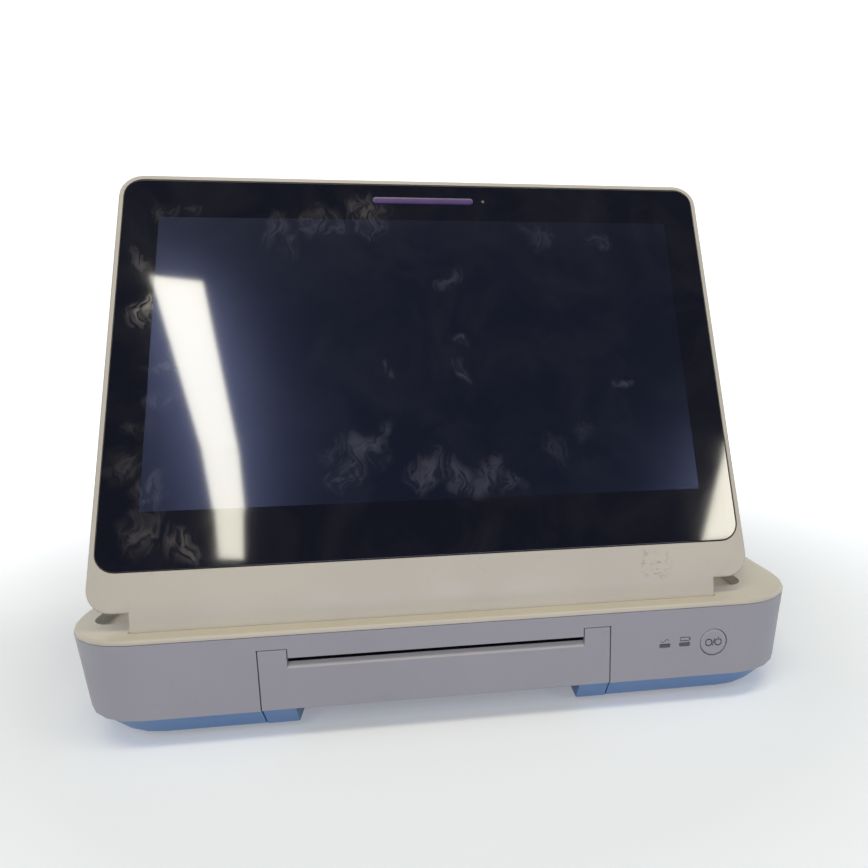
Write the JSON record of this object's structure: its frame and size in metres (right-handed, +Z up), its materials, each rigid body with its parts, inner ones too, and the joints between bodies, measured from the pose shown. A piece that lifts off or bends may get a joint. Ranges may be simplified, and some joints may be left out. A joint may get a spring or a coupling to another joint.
{
  "type": "cardiotocograph",
  "caption": "Tabletop fetal monitor with a fold-up touch screen on a low base, a front paper drawer with a strip-chart printer, and sockets at the side and rear.",
  "frame": {"origin": "on the table under the middle of the base, level with the undersides of the feet", "axes": "+Z up, +Y from the front with the paper drawer to the rear, +X to the right seen from the front"},
  "size_m": [0.3843, 0.317, 0.2906],
  "materials": {
    "cream_abs": "fine moulded texture, slightly aged",
    "grey_white_abs": "fine moulded texture",
    "blue_abs": "fine moulded texture",
    "black_glass": "polished glass, printed black at the back",
    "screen": "dark screen, switched off",
    "alarm_diffuser": "tinted diffuser, satin",
    "smoked_lens": "smoked, satin",
    "black_abs": "moulded",
    "battery_wrap": "shrink wrap",
    "rubber": "matt",
    "steel": "zinc plated",
    "aluminium": "sheet",
    "nylon": "moulded nylon",
    "circuit_board": "solder resist",
    "thermal_paper": "coated paper",
    "ceramic": "glazed ceramic"
  },
  "bodies": {
    "base": {"top_cover": "cream_abs", "housing": "grey_white_abs", "bottom_tray": "blue_abs", "paper_bay": "black_abs", "print_head": "ceramic", "print_head_bracket": "steel", "printer_motor": "steel", "idler_pin": "steel", "main_board": "circuit_board", "power_supply": "aluminium", "battery_pack": "battery_wrap", "battery_door": "blue_abs", "speaker": "black_abs", "power_switch": "black_abs", "control_board": "circuit_board", "mains_light": "smoked_lens", "battery_light": "smoked_lens", "ultrasound_socket_1": "black_abs", "ultrasound_socket_2": "black_abs", "contraction_socket": "black_abs", "marker_socket": "black_abs", "mains_inlet": "black_abs", "earth_post": "steel", "network_socket": "steel", "usb_socket": "steel", "foot_front_left": "rubber", "foot_front_right": "rubber", "foot_rear_left": "rubber", "foot_rear_right": "rubber", "hinge_bracket_left": "steel", "hinge_bracket_right": "steel", "rear_plate": "grey_white_abs"},
    "display": {"display_bezel": "cream_abs", "display_back": "cream_abs", "touch_glass": "black_glass", "lcd_panel": "screen", "display_board": "circuit_board", "alarm_light": "alarm_diffuser", "hinge_shaft_left": "steel", "hinge_shaft_right": "steel"},
    "paper_drawer": {"drawer_front": "grey_white_abs", "drawer_skirt": "blue_abs", "drawer_tray": "black_abs", "paper_pack": "thermal_paper"},
    "platen": {"platen_shaft": "steel", "platen_rubber": "rubber", "platen_gear": "nylon"},
    "idler": {"idler_gear": "nylon"},
    "pinion": {"motor_pinion": "nylon"},
    "power_button": {"power_button": "grey_white_abs"}
  },
  "joints": [
    {"name": "display_hinge", "type": "hinge", "parent": "base", "child": "display", "pos_m": [-0.008, -0.14056, 0.0605], "axis": [1, 0, 0], "range_deg": [-68, 21]},
    {"name": "drawer_slide", "type": "slide", "parent": "base", "child": "paper_drawer", "axis": [0, -1, 0], "range_m": [0, 0.105]},
    {"name": "power_button_press", "type": "slide", "parent": "base", "child": "power_button", "axis": [0, 1, 0], "range_m": [0, 0.0012], "stiffness_N_per_m": 800},
    {"name": "platen_turn", "type": "hinge", "parent": "paper_drawer", "child": "platen", "pos_m": [-0.008, -0.14, 0.036], "axis": [1, 0, 0], "continuous": true},
    {"name": "idler_turn", "type": "hinge", "parent": "base", "child": "idler", "pos_m": [-0.008, -0.1248, 0.036], "axis": [1, 0, 0], "continuous": true},
    {"name": "pinion_turn", "type": "hinge", "parent": "base", "child": "pinion", "pos_m": [-0.008, -0.112, 0.036], "axis": [1, 0, 0], "continuous": true}
  ],
  "couplings": [
    {"joint": "idler_turn", "follows": "platen_turn", "ratio": -1.1111},
    {"joint": "pinion_turn", "follows": "platen_turn", "ratio": 1.4286}
  ]
}
